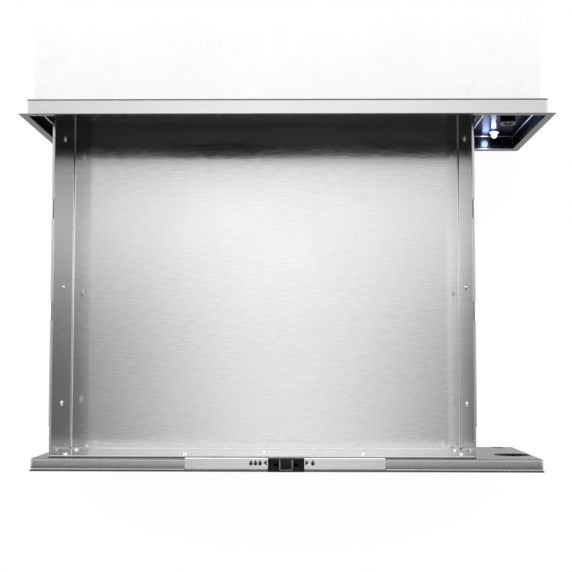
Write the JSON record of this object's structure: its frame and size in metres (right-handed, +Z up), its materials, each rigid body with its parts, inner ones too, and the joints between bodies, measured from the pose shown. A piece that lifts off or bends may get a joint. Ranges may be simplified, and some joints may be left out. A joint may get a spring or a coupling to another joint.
{
  "type": "built-in warming drawer",
  "caption": "Built-in warming drawer shown pulled open: steel pan on telescopic slides, flat front with a moisture slider, trim frame with control knob and lamp in a recess, insulated housing.",
  "frame": {"origin": "middle of the housing's underside, which stands on the floor of the cabinet cut-out", "axes": "+Z up; the drawer opens toward -Y; +X is the viewer's right when facing the front"},
  "size_m": [0.762, 1.1239, 0.285],
  "materials": {
    "stainless": "fine brushed stainless steel",
    "strip_steel": "bright brushed stainless steel",
    "collar_steel": "polished to brushed stainless steel",
    "cavity_steel": "aluminised steel, dulled",
    "zinc_coated": "satin zinc-coated sheet",
    "slide_zinc": "bright zinc-plated rolled steel",
    "screw_steel": "stainless screw",
    "bulb_metal": "tinned copper",
    "chrome": "polished chrome",
    "black_plastic": "black moulded plastic, half gloss",
    "glass_fibre": "matted glass fibre",
    "rubber": "black silicone rubber",
    "heater_sheath": "dark oxidised heater sheath",
    "ceramic": "unglazed steatite",
    "lamp": "lit frosted lens",
    "lamp_window": "clear polycarbonate",
    "wire_sleeve": "braided glass sleeve"
  },
  "bodies": {
    "housing": {"housing_wrap": "zinc_coated", "housing_base": "zinc_coated", "rear_panel": "zinc_coated", "cavity_liner": "cavity_steel", "insulation_jacket": "glass_fibre", "collar": "collar_steel", "trim_top": "stainless", "trim_bottom": "stainless", "trim_left": "stainless", "trim_right": "stainless", "cavity_seal": "rubber", "duct_partition": "zinc_coated", "thermostat": "ceramic", "lamp_bezel": "chrome", "lamp_lens": "lamp", "lamp_holder": "black_plastic", "heating_element": "heater_sheath", "element_saddle_left": "zinc_coated", "element_saddle_right": "zinc_coated", "sensor_bulb": "bulb_metal", "supply_box": "zinc_coated", "terminal_block": "ceramic", "cable_gland": "black_plastic", "wiring_loom": "wire_sleeve", "slide_cabinet_left": "slide_zinc", "slide_cabinet_right": "slide_zinc", "rear_stop_left": "rubber", "rear_stop_right": "rubber"},
    "drawer": {"pan": "stainless", "pan_side_left": "stainless", "pan_side_right": "stainless", "panel_box": "stainless", "control_plate": "stainless", "front_plate": "stainless", "lamp_window": "lamp_window", "panel_stiffener": "zinc_coated", "panel_insulation": "glass_fibre", "vent_grille": "stainless", "legend_strip": "strip_steel", "slider_bezel": "black_plastic", "slide_drawer_left": "slide_zinc", "slide_drawer_right": "slide_zinc", "pan_screw_1": "screw_steel", "pan_screw_2": "screw_steel", "pan_screw_3": "screw_steel", "pan_screw_4": "screw_steel", "pan_screw_5": "screw_steel", "pan_screw_6": "screw_steel", "pan_screw_7": "screw_steel"},
    "slide_middle_left": {"slide_middle_left": "slide_zinc"},
    "slide_middle_right": {"slide_middle_right": "slide_zinc"},
    "ball_cage_outer_left": {"ball_cage_outer_left": "chrome"},
    "ball_cage_outer_right": {"ball_cage_outer_right": "chrome"},
    "ball_cage_inner_left": {"ball_cage_inner_left": "chrome"},
    "ball_cage_inner_right": {"ball_cage_inner_right": "chrome"},
    "control_knob": {"control_knob": "black_plastic", "knob_ring": "chrome", "thermostat_shaft": "zinc_coated"},
    "moisture_slider": {"slider_knob": "black_plastic", "vent_shutter": "zinc_coated"}
  },
  "joints": [
    {"name": "drawer_slide", "type": "slide", "parent": "housing", "child": "drawer", "axis": [0, 1, 0], "range_m": [0, 0.504]},
    {"name": "slide_middle_left_slide", "type": "slide", "parent": "housing", "child": "slide_middle_left", "axis": [0, 1, 0], "range_m": [0, 0.252]},
    {"name": "ball_cage_outer_left_slide", "type": "slide", "parent": "housing", "child": "ball_cage_outer_left", "axis": [0, 1, 0], "range_m": [0, 0.126]},
    {"name": "ball_cage_inner_left_slide", "type": "slide", "parent": "housing", "child": "ball_cage_inner_left", "axis": [0, 1, 0], "range_m": [0, 0.378]},
    {"name": "slide_middle_right_slide", "type": "slide", "parent": "housing", "child": "slide_middle_right", "axis": [0, 1, 0], "range_m": [0, 0.252]},
    {"name": "ball_cage_outer_right_slide", "type": "slide", "parent": "housing", "child": "ball_cage_outer_right", "axis": [0, 1, 0], "range_m": [0, 0.126]},
    {"name": "ball_cage_inner_right_slide", "type": "slide", "parent": "housing", "child": "ball_cage_inner_right", "axis": [0, 1, 0], "range_m": [0, 0.378]},
    {"name": "knob_turn", "type": "hinge", "parent": "housing", "child": "control_knob", "pos_m": [0.33, -0.29, 0.182], "axis": [0, 1, 0], "range_deg": [0, 270]},
    {"name": "moisture_slide", "type": "slide", "parent": "drawer", "child": "moisture_slider", "axis": [1, 0, 0], "range_m": [-0.013, 0.013]}
  ],
  "couplings": [
    {"joint": "slide_middle_left_slide", "follows": "drawer_slide", "ratio": 0.5},
    {"joint": "ball_cage_outer_left_slide", "follows": "drawer_slide", "ratio": 0.25},
    {"joint": "ball_cage_inner_left_slide", "follows": "drawer_slide", "ratio": 0.75},
    {"joint": "slide_middle_right_slide", "follows": "drawer_slide", "ratio": 0.5},
    {"joint": "ball_cage_outer_right_slide", "follows": "drawer_slide", "ratio": 0.25},
    {"joint": "ball_cage_inner_right_slide", "follows": "drawer_slide", "ratio": 0.75}
  ]
}
